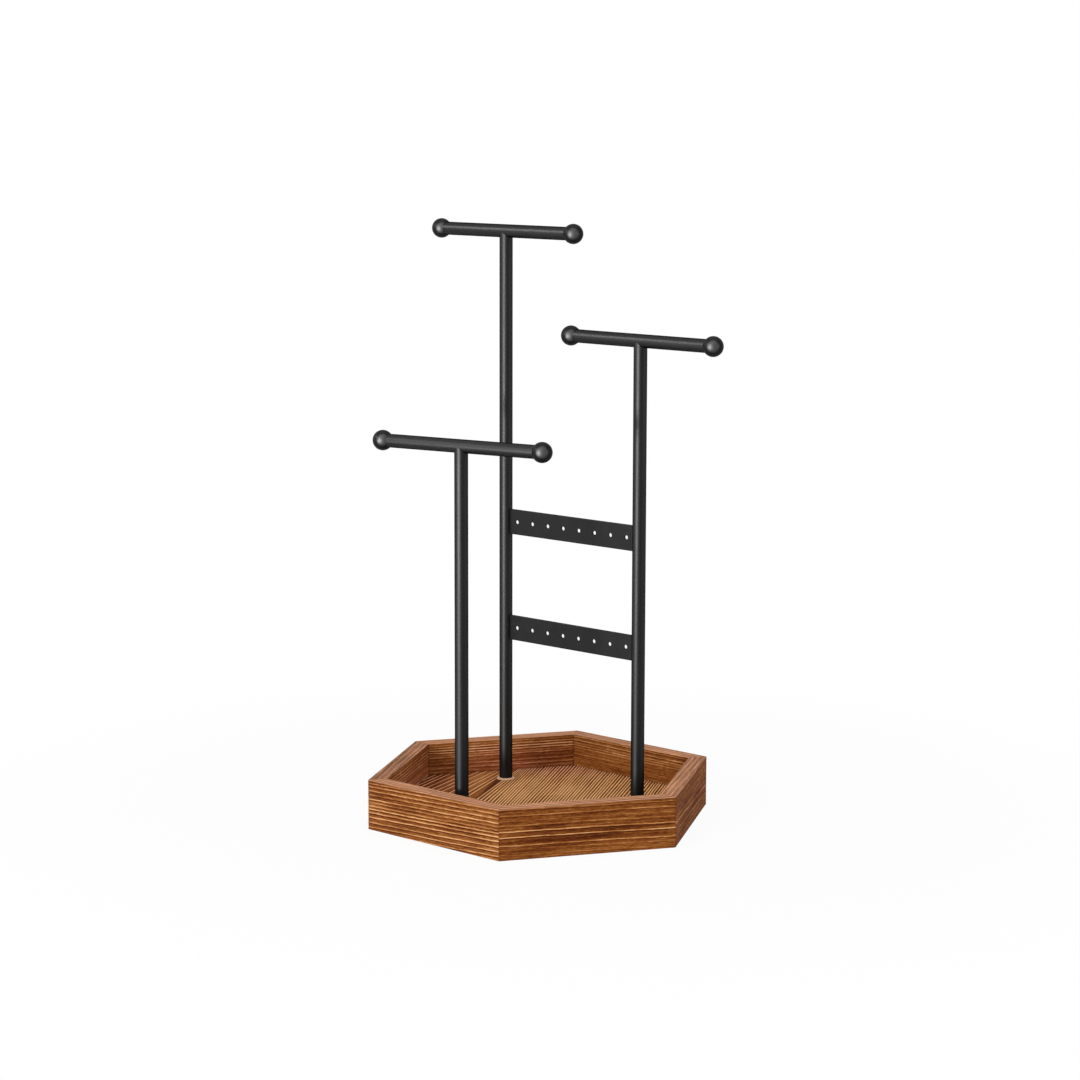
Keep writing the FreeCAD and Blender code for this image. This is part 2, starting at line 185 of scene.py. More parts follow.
def makeTorchedWood(look):
    material, tree, shader = newMaterial("torchedWood")
    tone = attribute(tree, "growthLine")
    shade = attribute(tree, "lineShade")
    place = attribute(tree, "boardSpace", vector=True)
    along, depth, height = splitXyz(tree, place)
    rings = calc(tree, "MULTIPLY", attribute(tree, "rings"), 1 / mm)
    textures = {name: grain(tree, place, look[name]) for name in ("fibres", "pores", "patches", "breaks")}
    textures["rings"] = noise(tree, joinXyz(tree, rings, 0.0, 0.0), *look["rings"])

    def addGrain(tone, texture, gain):  # the middle of the texture leaves the tone as it is
        return calc(tree, "ADD", tone, calc(tree, "MULTIPLY_ADD", texture, gain, -0.5 * gain))

    tone = calc(tree, "MULTIPLY", tone, ramp(tree, textures["breaks"], *look["lineBreaks"]))
    tone = calc(tree, "MULTIPLY", tone, ramp(tree, textures["patches"], *look["linePatches"]))
    tone = calc(tree, "MULTIPLY_ADD", tone, look["lineGain"], look["restTone"])
    # the painted shadow under each raised line darkens the tone there
    tone = calc(tree, "MULTIPLY_ADD", shade, -look["paintedShadowGain"], tone)
    for name, gain in look["gains"].items():
        tone = addGrain(tone, textures[name], gain)
    # scorch marks, and painted light and shade, darken or lighten the tone
    tone = calc(tree, "SUBTRACT", tone, calc(tree, "MULTIPLY", attribute(tree, "scorchAndPaintedLight"), look["scorchAndPaintedLightGain"]))

    seamWidth, seamTone = look["seam"]
    minusAlong = calc(tree, "MULTIPLY", calc(tree, "ABSOLUTE", along), -1.0)
    toMitre = calc(tree, "MULTIPLY_ADD", depth, -math.tan(math.pi / 6), minusAlong)
    seam = ramp(tree, toMitre, 0.0, seamWidth * mm, seamTone, 0.0)
    tone = calc(tree, "SUBTRACT", tone, calc(tree, "MULTIPLY", seam, attribute(tree, "mitred")))
    colour = colourSteps(tree, tone, look["steps"])
    # painted bounce tint: the redder light bounced deep inside the tray
    colour = mixColours(tree, attribute(tree, "paintedBounceTint"), colour, (*look["paintedBounceTint"], 1), "MULTIPLY")

    low, high = look["rimFrom"]
    rim = ramp(tree, height, low * mm, high * mm, 0.0, look["rimWash"])
    rimTone = addGrain(tone, grain(tree, place, look["rimFibres"]), look["rimGain"])
    rimTone = ramp(tree, rimTone, *look["rimShade"], smooth=False)
    colour = mixColours(tree, rim, colour, shaded(tree, look["rimColour"], rimTone))
    tree.links.new(colour, shader.inputs["Base Color"])
    tree.links.new(ramp(tree, tone, *look["roughness"], smooth=False), shader.inputs["Roughness"])
    shader.inputs["Specular IOR Level"].default_value = look["specular"]
    addBump(tree, shader, textures["fibres"], *look["bump"])
    return material


# satin powder coat on the posts, bars, balls and strips

blackCoat = {
    "colour": (0.0032, 0.0033, 0.0034),
    "clouds": (90.0, 3.0),     # to the metre, detail
    "cloudShade": (0.85, 1.15),
    "roughness": (0.42, 0.45),
    "specular": (0.165, 0.0),  # facing the eye, and at the edge of a round bar
    "edge": (0.30, 0.72),      # where it starts to fall off, and where it is gone
    "peelSize": 1.6,           # mm
    "peel": (0.01, 0.05),      # strength, mm
}
stripCoat = dict(blackCoat, specular=(0.13, 0.0))
ballCoat = dict(blackCoat, specular=(0.60, 0.08), edge=(0.02, 0.26), roughness=(0.48, 0.52))
cloudRange = (0.3, 0.7)        # the part of a cloud's noise that shows


def makeBlackCoat(name, look):
    material, tree, shader = newMaterial(name)
    place = objectPlace(tree)
    peel = noise(tree, place, 1 / (look["peelSize"] * mm))
    cloud = noise(tree, place, *look["clouds"])
    shade = ramp(tree, cloud, *cloudRange, *look["cloudShade"])
    tree.links.new(shaded(tree, look["colour"], shade), shader.inputs["Base Color"])
    tree.links.new(ramp(tree, cloud, *cloudRange, *look["roughness"]), shader.inputs["Roughness"])
    facing = addNode(tree, "ShaderNodeLayerWeight", {"Blend": 0.5}).outputs["Facing"]
    gloss = shader.inputs["Specular IOR Level"]
    gloss.default_value = look["specular"][0]
    tree.links.new(ramp(tree, facing, *look["edge"], *look["specular"]), gloss)
    addBump(tree, shader, peel, *look["peel"])
    return material


# zinc-plated screws, washers and the plugs in the posts' feet

platedSteel = {
    "colour": (0.52, 0.53, 0.54),
    "clouds": (600.0, 3.0),
    "cloudShade": (0.82, 1.08),
    "roughness": (0.26, 0.40),
    "scratches": ((4000, 900, 900), 2.0, 0.5),
    "brushing": (0.08, 0.03),
}


def makePlatedSteel(look):
    material, tree, shader = newMaterial("platedSteel")
    place = objectPlace(tree)
    cloud = noise(tree, place, *look["clouds"])
    shade = ramp(tree, cloud, *cloudRange, *look["cloudShade"])
    tree.links.new(shaded(tree, look["colour"], shade), shader.inputs["Base Color"])
    tree.links.new(ramp(tree, cloud, *cloudRange, *look["roughness"]), shader.inputs["Roughness"])
    shader.inputs["Metallic"].default_value = 1.0
    addBump(tree, shader, grain(tree, place, look["scratches"]), *look["brushing"])
    return material


# bare turned wood of the seat rings

paleWood = {
    "steps": [(0.25, (0.35, 0.185, 0.115)), (0.5, (0.58, 0.35, 0.23)), (0.75, (0.74, 0.52, 0.37))],
    "fibres": ((250, 1800, 1800), 3.0, 0.6),
    "roughness": 0.62,
    "specular": 0.3,
    "bump": (0.2, 0.08),
}


def makePaleWood(look):
    material, tree, shader = newMaterial("paleWood")
    fibres = grain(tree, objectPlace(tree), look["fibres"])
    tree.links.new(colourSteps(tree, fibres, look["steps"]), shader.inputs["Base Color"])
    shader.inputs["Roughness"].default_value = look["roughness"]
    shader.inputs["Specular IOR Level"].default_value = look["specular"]
    addBump(tree, shader, fibres, *look["bump"])
    return material


woodFinish = makeTorchedWood(torchedWood)
coatFinish = makeBlackCoat("blackCoat", blackCoat)
stripFinish = makeBlackCoat("stripCoat", stripCoat)
ballFinish = makeBlackCoat("ballCoat", ballCoat)
steelFinish = makePlatedSteel(platedSteel)
ringFinish = makePaleWood(paleWood)
print("finishes ready")


# shared by the geometry-node pieces

def newGeometryTree(name, sockets):
    tree = bpy.data.node_groups.new(name, "GeometryNodeTree")
    kinds = {"number": "NodeSocketFloat", "count": "NodeSocketInt", "object": "NodeSocketObject",
             "material": "NodeSocketMaterial"}
    for label, kind in sockets:
        tree.interface.new_socket(name=label, in_out="INPUT", socket_type=kinds[kind])
    tree.interface.new_socket(name="Geometry", in_out="OUTPUT", socket_type="NodeSocketGeometry")
    given = tree.nodes.new("NodeGroupInput").outputs
    return tree, given


def finishTree(tree, geometry, material):
    realized = addNode(tree, "GeometryNodeRealizeInstances", {"Geometry": geometry})
    painted = addNode(tree, "GeometryNodeSetMaterial", {"Geometry": realized.outputs[0], "Material": material})
    tree.links.new(painted.outputs[0], tree.nodes.new("NodeGroupOutput").inputs[0])


def objectGeometry(tree, source):
    return addNode(tree, "GeometryNodeObjectInfo", {"Object": source}).outputs["Geometry"]


def position(tree):
    return tree.nodes.new("GeometryNodeInputPosition").outputs[0]


def turnedAboutZ(tree, vector, angle):
    node = addNode(tree, "ShaderNodeVectorRotate", {"Vector": vector, "Angle": angle}, rotation_type="Z_AXIS")
    return node.outputs[0]


def moved(tree, geometry, **to):  # to a Position, or by an Offset
    return addNode(tree, "GeometryNodeSetPosition", {"Geometry": geometry, **to}).outputs[0]


def swept(tree, path, profile):
    return addNode(tree, "GeometryNodeCurveToMesh", {
        "Curve": path, "Profile Curve": profile, "Fill Caps": True}).outputs[0]


def drilled(tree, solid, points, drill, **settings):  # one hole at each point
    drills = addNode(tree, "GeometryNodeInstanceOnPoints", {"Points": points, "Instance": drill, **settings})
    drills = addNode(tree, "GeometryNodeRealizeInstances", {"Geometry": drills.outputs[0]})
    bored = addNode(tree, "GeometryNodeMeshBoolean", {"Mesh 1": solid}, solver="EXACT")
    tree.links.new(drills.outputs[0], bored.inputs["Mesh 2"])
    return bored.outputs["Mesh"]


def capture(tree, geometry, **fields):  # keeps each field's value as the geometry goes on
    node = tree.nodes.new("GeometryNodeCaptureAttribute")
    for name, source in fields.items():
        node.capture_items.new("FLOAT" if source.type == "VALUE" else "VECTOR", name)
    for name, source in fields.items():
        tree.links.new(source, node.inputs[name])
    tree.links.new(geometry, node.inputs["Geometry"])
    return node.outputs


def storeAttribute(tree, geometry, name, value, kind="FLOAT"):
    node = addNode(tree, "GeometryNodeStoreNamedAttribute", {"Geometry": geometry, "Name": name}, data_type=kind)
    tree.links.new(value, node.inputs["Value"])
    return node.outputs[0]


def storeGrain(tree, geometry, place, rings, line, shade):
    geometry = storeAttribute(tree, geometry, "boardSpace", place, "FLOAT_VECTOR")
    for name, value in (("rings", rings), ("growthLine", line), ("lineShade", shade)):
        geometry = storeAttribute(tree, geometry, name, value)
    return geometry


# waves: scale along X, Y and Z, detail, share of the wander
def wandering(tree, rings, spot, waves, wander, seed):
    x, y, z = spot
    for (scaleX, scaleY, scaleZ), detail, share in waves:
        place = joinXyz(tree, calc(tree, "MULTIPLY", x, scaleX), calc(tree, "MULTIPLY", y, scaleY),
                        calc(tree, "MULTIPLY_ADD", z, scaleZ, seed))
        wave = calc(tree, "SUBTRACT", noise(tree, place, 1.0, detail), 0.5)
        rings = calc(tree, "ADD", rings, calc(tree, "MULTIPLY", calc(tree, "MULTIPLY", wander, share), wave))
    return rings


def nearestLine(tree, lines, rings, width):  # how far on a growth line, and in the painted shadow just below it
    probe = joinXyz(tree, rings, 0.0, 0.0)
    nearest = addNode(tree, "GeometryNodeSampleNearest", {"Geometry": lines, "Sample Position": probe})
    sample = {"Geometry": lines, "Index": nearest.outputs[0]}
    where = addNode(tree, "GeometryNodeSampleIndex", sample, data_type="FLOAT_VECTOR")
    tree.links.new(position(tree), where.inputs["Value"])
    strength = addNode(tree, "GeometryNodeSampleIndex", sample, data_type="FLOAT")
    named = addNode(tree, "GeometryNodeInputNamedAttribute", {"Name": "strength"}, data_type="FLOAT")
    tree.links.new(named.outputs[0], strength.inputs["Value"])
    lineAt = splitXyz(tree, where.outputs[0])[0]
    above = calc(tree, "SUBTRACT", rings, lineAt)
    # the painted shadow lies one line width below the line
    below = calc(tree, "ADD", above, width)

    def near(away):
        nearness = ramp(tree, calc(tree, "ABSOLUTE", away), 0.0, width, 1.0, 0.0)
        return calc(tree, "MULTIPLY", nearness, strength.outputs[0])

    return near(above), near(below)


def growthLines(name, lines):  # points along X, one for each line, with its strength
    mesh = bpy.data.meshes.new(name)
    places, strengths = zip(*lines)
    mesh.from_pydata([(place * mm, 0, 0) for place in places], [], [])
    mesh.attributes.new("strength", "FLOAT", "POINT").data.foreach_set("value", strengths)
    guide = bpy.data.objects.new(name, mesh)
    scene.collection.objects.link(guide)
    return guide


def sectionCurve(name, points):  # a closed outline in XY
    curve = bpy.data.curves.new(name, "CURVE")
    curve.dimensions = "3D"
    spline = curve.splines.new("POLY")
    spline.points.add(len(points) - 1)
    for point, (x, y) in zip(spline.points, points):
        point.co = (x * mm, y * mm, 0, 1)
    spline.use_cyclic_u = True
    guide = bpy.data.objects.new(name, curve)
    scene.collection.objects.link(guide)
    return guide


def makeByNodes(name, tree, values):
    piece = bpy.data.objects.new(name, bpy.data.meshes.new(name + "Start"))
    scene.collection.objects.link(piece)
    modifier = piece.modifiers.new("Maker", "NODES")
    modifier.node_group = tree
    for item in tree.interface.items_tree:
        if item.in_out == "INPUT":
            modifier[item.identifier] = values[item.name]
    depsgraph = bpy.context.evaluated_depsgraph_get()
    made = bpy.data.meshes.new_from_object(
        piece.evaluated_get(depsgraph), preserve_all_data_layers=True, depsgraph=depsgraph)
    piece.modifiers.remove(modifier)
    piece.data = made
    made.name = name
    return piece


def smoothTo(piece, degrees):
    piece.data.shade_smooth()
    piece.data.set_sharp_from_angle(angle=math.radians(degrees))


def boardPlaces(mesh):  # mm along, through and up the board, for each point
    values = np.zeros(len(mesh.vertices) * 3, dtype=np.float32)
    mesh.attributes["boardSpace"].data.foreach_get("vector", values)
    return values.reshape(-1, 3) / mm


woodCrease, stripCrease = 50, 35  # degrees, past which an edge stays sharp
nearlyFlat = 1e-5              # a slope that can still be divided by
nearlyOne = 0.9999             # tells the end stations from the others
boardMiddle = 87.0             # mm from the tray's centre, about half way through a board
rimEdge = 29.0                 # mm above the table


# spots: side, along, up or across, half length, half width, amount
def paintSpots(piece, name, spots, base=0.0):
    place = boardPlaces(piece.data)
    amount = np.full(len(place), base, dtype=np.float32)
    for side, u, v, halfLength, halfWidth, strength in spots:
        across = place[:, 1] if side in ("top", "rim") else place[:, 2]
        spot = strength * np.exp(-((place[:, 0] - u) / halfLength) ** 2 - ((across - v) / halfWidth) ** 2)
        if side == "outer":
            spot[place[:, 1] > -boardMiddle] = 0
        if side == "inner":
            spot[place[:, 1] < -boardMiddle] = 0
        if side == "rim":
            spot[place[:, 2] < rimEdge] = 0
        amount += spot
    piece.data.attributes.new(name, "FLOAT", "POINT").data.foreach_set("value", amount)


# the six mitred wall boards

wallBoards = {
    "apothem": 92.25,          # mm, centre to outer face
    "thickness": 10.5,
    "height": 30.0,
    "edgeRound": 0.55,
    "groove": (4.95, 10.05, 4.0),  # lower edge, upper edge, depth
    "roundSteps": 4,
    "faceStep": 0.28,          # spacing of the section's points on the faces
    "footStep": 0.84,
    "grooveStep": 1.4,
    "stations": 60,
    "endGap": 0.006,           # the last station, as a share of half the length
    "endEase": 0.07,
    "relief": 0.22,
    "lineWidth": 0.62,
    "topRelief": (29.2, 29.8, 1.0, 0.25),  # from and to mm above the table, and the share of the relief there
    "footRelief": (0.2, 1.0, 0.2, 1.0),
    "lean": 0.55,              # how the rings slope through the board's thickness
    "wander": 1.0,
    "waves": [((26, 60, 90), 2.0, 1.0), ((210, 300, 260), 1.0, 0.45)],
}

# lines: mm up the outer face, strength. spots: see paintSpots, in mm on the board. turn and tilt in degrees

# the spots paint scorch marks together with painted light and shade, and tone shifts a whole board the same way; the
# bounce tint paints light bounced deep inside the tray
boardGrain = {
    "front": {
        "turn": 0, "tilt": 2.0, "seed": 3.0, "tone": -0.02,
        "lines": [(-3.4, .5), (-1.2, .5), (0.7, .6), (3.6, .7), (6.3, 1), (9.5, .95), (12.1, 1), (14.2, .8),
                  (16, .55), (18.2, .55), (20.2, .7), (22.9, .6), (25.4, .6), (27.8, .65), (29.8, .5), (31.6, .6),
                  (33.2, .5), (34.9, .6)],
        "spots": [("outer", -40, 21, 14, 2.2, .45), ("outer", -22, 16.5, 18, 2.4, .4), ("outer", 33, 12, 9, 2.6, .3),
                  ("outer", 46, 28, 12, 2, -.4), ("outer", 50, 5, 12, 6, -.25)],
    },
    "front_right": {
        "turn": 60, "tilt": -0.8, "seed": 11.0, "tone": 0.12,
        "lines": [(-1.5, .2), (2.4, .15), (5.6, .15), (8, .6), (12.8, .88), (16.2, .75), (17.9, .15), (19.7, .35),
                  (22.5, .25), (25.4, .4), (28.9, .5), (30.9, .8), (32.9, .9), (34.6, .8)],
        "spots": [("outer", -28, 18.4, 14, 1.1, .7), ("outer", -5, 14.5, 48, 1.1, .65),
                  ("outer", -14, 10.4, 32, 1.5, .65), ("outer", 4, 10.4, 9, 1.2, .4), ("outer", 0, 23.8, 16, 1, .4),
                  ("outer", -42, 5, 13, 1.3, .3), ("outer", 35, 4, 25, 3, -.25), ("outer", 0, 3, 90, 3, -.25)],
    },
    "back_right": {
        "turn": 120, "tilt": -0.8, "seed": 23.0, "tone": 0.20,
        "lines": [(-1, .2), (3.2, .25), (5.9, .15), (8.8, .45), (13.4, .65), (16.8, .3), (19.5, .1), (22.8, .15),
                  (26.1, .15), (29.4, .25), (31.4, .4), (33.1, .4), (34.8, .4)],
        "spots": [("outer", -20, 19.5, 26, 2, .35), ("outer", 22, 15, 20, 1.3, .4), ("outer", 10, 11, 32, 1.4, .4),
                  ("outer", -5, 26, 30, 2, .15)],
    },
    "back": {
        "turn": 180, "tilt": 0.5, "seed": 31.0, "tone": 0.0,
        "lines": [(2, .3), (5.1, .3), (8.6, .45), (12.1, .3), (15.3, .3), (20.6, .2), (23.1, .25), (27.2, .25),
                  (28.7, .45), (30.1, .4), (32, .6), (34.3, .4), (35.6, .4)],
        "spots": [("inner", 30, 24, 14, 2, .4), ("inner", -10, 13, 26, 3, .2), ("inner", -5, 20, 30, 6, -.35),
                  ("outer", 10, 15, 30, 3, .3)],
    },
    "back_left": {
        "turn": 240, "tilt": 0.0, "seed": 43.0, "tone": 0.05,
        "lines": [(2.6, .3), (6.1, .3), (9.6, .5), (12.4, .25), (15.1, .25), (17.2, .2), (19.3, .35), (22, .4),
                  (24.2, .25), (26.2, .55), (27.6, .4), (29.1, .8), (30.7, 1), (32.3, .7), (33.9, .5), (35.4, .4)],
        "spots": [("inner", 0, 14, 90, 9, -.42), ("inner", 5, 27.5, 60, 2.6, -.3),
                  ("inner", -30, 13, 22, 8, .3), ("outer", -10, 18, 35, 3, .4)],
        "paintedBounceTint": [("inner", -5, 14, 45, 12, 1.0)],
    },
    "front_left": {
        "turn": 300, "tilt": 0.8, "seed": 57.0, "tone": 0.15,
        "lines": [(2, .4), (5.1, .4), (9.1, .6), (13.6, .4), (16.5, .3), (20.9, .35), (24.6, .35), (26.3, .4),
                  (28.4, .45), (30.3, .45), (32.2, .5), (34.1, .4), (35.6, .4)],
        "paintedBounceTint": [("inner", 0, 14, 90, 14, 1.0)],
        "spots": [("inner", 0, 14, 90, 12, -.8), ("inner", 20, 27, 30, 3, -.3),
                  ("rim", 0, -87, 90, 9, .9), ("outer", 0, 12, 30, 3, .5)],
    },
}


def boardSection(size):  # runs counterclockwise seen from +X: Y to the right, Z up
    outer, inner = -size["apothem"], -size["apothem"] + size["thickness"]
    low, high, depth = size["groove"]
    top, r = size["height"], size["edgeRound"]
    turns = size["roundSteps"]
    step, footStep, grooveStep = size["faceStep"], size["footStep"], size["grooveStep"]
    points = []

    def face(a, b, spacing):
        count = max(2, round(math.dist(a, b) / spacing))
        points.extend((a[0] + (b[0] - a[0]) * i / count, a[1] + (b[1] - a[1]) * i / count) for i in range(count))

    def corner(centre, first):
        for i in range(turns):
            angle = math.radians(first + 90 * i / turns)
            points.append((centre[0] + r * math.cos(angle), centre[1] + r * math.sin(angle)))

    face((outer + r, 0), (inner - r, 0), footStep)
    corner((inner - r, r), -90)
    face((inner, r), (inner, low), step)
    face((inner, low), (inner - depth, low), grooveStep)
    face((inner - depth, low), (inner - depth, high), grooveStep)
    face((inner - depth, high), (inner, high), grooveStep)
    face((inner, high), (inner, top - r), step)
    corner((inner - r, top - r), 0)
    face((inner - r, top), (outer + r, top), step)
    corner((outer + r, top - r), 90)
    face((outer, top - r), (outer, r), step)
    corner((outer + r, r), 180)
    return points


def boardTree(size):
    tree, given = newGeometryTree("wallBoard", [
        ("Section", "object"), ("Growth Lines", "object"), ("Stations", "count"), ("End Gap", "number"),
        ("End Ease", "number"), ("Mitre", "number"), ("Outer Face", "number"), ("Lean", "number"),
        ("Tilt", "number"), ("Wander", "number"), ("Seed", "number"), ("Line Width", "number"),
        ("Relief", "number"), ("Turn", "number"), ("Wood", "material")])
    lines = objectGeometry(tree, given["Growth Lines"])

    # the board's length as a line from -1 to 1, its last stations drawn close to the mitres
    path = addNode(tree, "GeometryNodeCurvePrimitiveLine", {"Start": (-1, 0, 0), "End": (1, 0, 0)}).outputs[0]
    path = addNode(tree, "GeometryNodeResampleCurve", {"Curve": path, "Count": given["Stations"]}).outputs[0]
    here = splitXyz(tree, position(tree))[0]
    lastSpan = calc(tree, "DIVIDE", 2.0, calc(tree, "SUBTRACT", given["Stations"], 1.0))
    lastShare = calc(tree, "SUBTRACT", 1.0, given["End Gap"])
    spread = calc(tree, "DIVIDE", lastShare, calc(tree, "SUBTRACT", 1.0, lastSpan))
    share = calc(tree, "MULTIPLY", here, spread)
    share = calc(tree, "MAXIMUM", calc(tree, "MINIMUM", share, 1.0), -1.0)
    path = capture(tree, path, share=share)
    tangent = tree.nodes.new("GeometryNodeInputTangent").outputs[0]
    profile = capture(tree, objectGeometry(tree, given["Section"]), spot=position(tree), tangent=tangent)
    board = swept(tree, path["Geometry"], profile["Geometry"])
    share = path["share"]
    y, z, _ = splitXyz(tree, profile["spot"])
    ty, tz, _ = splitXyz(tree, profile["tangent"])

    def mitred(depth):  # the place along the board for a depth from the tray's centre
        length = calc(tree, "MULTIPLY", depth, calc(tree, "MULTIPLY", given["Mitre"], -1.0))
        return calc(tree, "MULTIPLY", share, length)

    # rings: height, tilted along the board, leaning through it, and wandering a little
    x = mitred(y)
    depth = calc(tree, "SUBTRACT", y, given["Outer Face"])
    rings = calc(tree, "SUBTRACT", z, calc(tree, "MULTIPLY", x, calc(tree, "TANGENT", given["Tilt"])))
    rings = calc(tree, "MULTIPLY_ADD", depth, given["Lean"], rings)
    rings = wandering(tree, rings, (x, y, z), size["waves"], given["Wander"], given["Seed"])
    # shade: the painted shadow under the nearest line
    line, shade = nearestLine(tree, lines, rings, given["Line Width"])

    # hollows between the lines, only ever inwards from the planed faces, and less deep at the rim and the foot
    hollow = calc(tree, "MULTIPLY", given["Relief"], calc(tree, "SUBTRACT", 1.0, line))
    for low, high, start, end in (size["topRelief"], size["footRelief"]):
        hollow = calc(tree, "MULTIPLY", hollow, ramp(tree, z, low * mm, high * mm, start, end))
    atEnd = calc(tree, "GREATER_THAN", calc(tree, "ABSOLUTE", share), nearlyOne)
    hollow = calc(tree, "MULTIPLY_ADD", atEnd, given["End Ease"], hollow)
    yIn = calc(tree, "SUBTRACT", y, calc(tree, "MULTIPLY", tz, hollow))  # outwards is (tz, -ty)
    zIn = calc(tree, "MULTIPLY_ADD", ty, hollow, z)
    carved = joinXyz(tree, mitred(yIn), yIn, zIn)

    board = storeGrain(tree, board, joinXyz(tree, x, y, z), rings, line, shade)
    board = moved(tree, board, Position=turnedAboutZ(tree, carved, given["Turn"]))
    finishTree(tree, board, given["Wood"])
    return tree


def makeWalls(size, sides):
    tree = boardTree(size)
    section = sectionCurve("boardSection", boardSection(size))
    for side, look in sides.items():
        lines = growthLines("growthLines_" + side, look["lines"])
        board = makeByNodes("board_" + side, tree, {
            "Section": section, "Growth Lines": lines, "Stations": size["stations"], "End Gap": size["endGap"],
            "End Ease": size["endEase"] * mm, "Mitre": math.tan(math.radians(30)),
            "Outer Face": -size["apothem"] * mm, "Lean": size["lean"], "Tilt": math.radians(look["tilt"]),
            "Wander": size["wander"] * mm, "Seed": look["seed"], "Line Width": size["lineWidth"] * mm,
            "Relief": size["relief"] * mm, "Turn": math.radians(look["turn"]), "Wood": woodFinish})
        # scorch marks with painted light and shade, then the painted bounce tint
        paintSpots(board, "scorchAndPaintedLight", look["spots"], look["tone"])
        paintSpots(board, "paintedBounceTint", look.get("paintedBounceTint", []))
        paintSpots(board, "mitred", [], 1.0)
        smoothTo(board, woodCrease)
        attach(board, "stand")
        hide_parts("tray_wall_" + side)
        bpy.data.objects.remove(lines)
    bpy.data.objects.remove(section)


makeWalls(wallBoards, boardGrain)
print("wall boards made")


# the floor panel, its grain running across the tray and fanning at the left

floorPanel = {
    "apothem": 85.45,          # mm
    "underside": 5.0,
    "thickness": 5.0,
    "alongCount": 34,
    "acrossCount": 620,
    "grainTurn": 120.0,        # direction of the grain, degrees from +X
    "fan": 0.235,              # slope of the outermost lines against the grain
    "fanFrom": -25.0,          # mm across
    "fanTo": -55.0,
    "fanPivot": 30.0,          # mm along
    "relief": 0.20,
    "lineWidth": 0.62,
    "contrast": 2.5,
    "wander": 0.8,
    "waves": [((18, 30, 0), 2.0, 1.0), ((120, 300, 0), 1.0, 0.3)],
    "seed": 71.0,
    "posts": ("tall", "middle", "short"),  # each has a screw through the panel
    "holeDiameter": 4.16,
    "holeSides": 40,
    "drillLength": 50.0,
    "topFrom": (9.6, 9.9),     # mm above the table, where the relief begins
    "rowSpare": 0.1,           # mm that the lowest row stays off the corner
    "wideLines": [(-83, .5), (-79.5, .6), (-76, .7), (-71.5, .6), (-67, .8), (-62.5, .7), (-58.5, .9), (-53, .75),
                  (-49, .85), (-44.5, .95), (-41.5, .8)],
    "finePitch": 1.87,
    "fineRange": (-35.0, 86.0),
    "fineSpread": (0.88, 1.12),
    "fineStrength": (0.60, 0.95),
    "boldEvery": 3,
    "boldFrom": 12.0,
    "lineSeed": 5,
    # the spots paint scorch marks together with painted light and shade; the bounce tint paints light bounced near
    # the walls
    "spots": [("top", 34, 6, 60, 30, -.65), ("top", 80, -16, 24, 20, .7), ("top", 52, 57, 30, 12, .4),
              ("top", 38, -78, 40, 9, .8), ("top", 22, -37, 40, 2.2, 1.0), ("top", 40, -38, 12, 8, .4),
              ("top", 60, 20, 14, 12, .45), ("top", 62, -8, 12, 9, .5), ("top", 10, -20, 40, 10, -.25),
              ("top", 44, -50, 26, 9, -.6), ("top", 48, -66, 20, 6, -.3), ("top", 10, -58, 50, 12, .1)],
    "paintedBounceTint": [("top", 88, -20, 20, 40, .8), ("top", 40, -70, 50, 20, .6)],
    "tone": -0.02,
}


def floorLines(size):
    lines = list(size["wideLines"])
    rng = random.Random(size["lineSeed"])
    place, step = size["fineRange"][0], 0
    while place < size["fineRange"][1]:
        bold = place > size["boldFrom"] and step % size["boldEvery"] == 0
        lines.append((place, 1.0 if bold else rng.uniform(*size["fineStrength"])))
        place += size["finePitch"] * rng.uniform(*size["fineSpread"])
        step += 1
    return lines


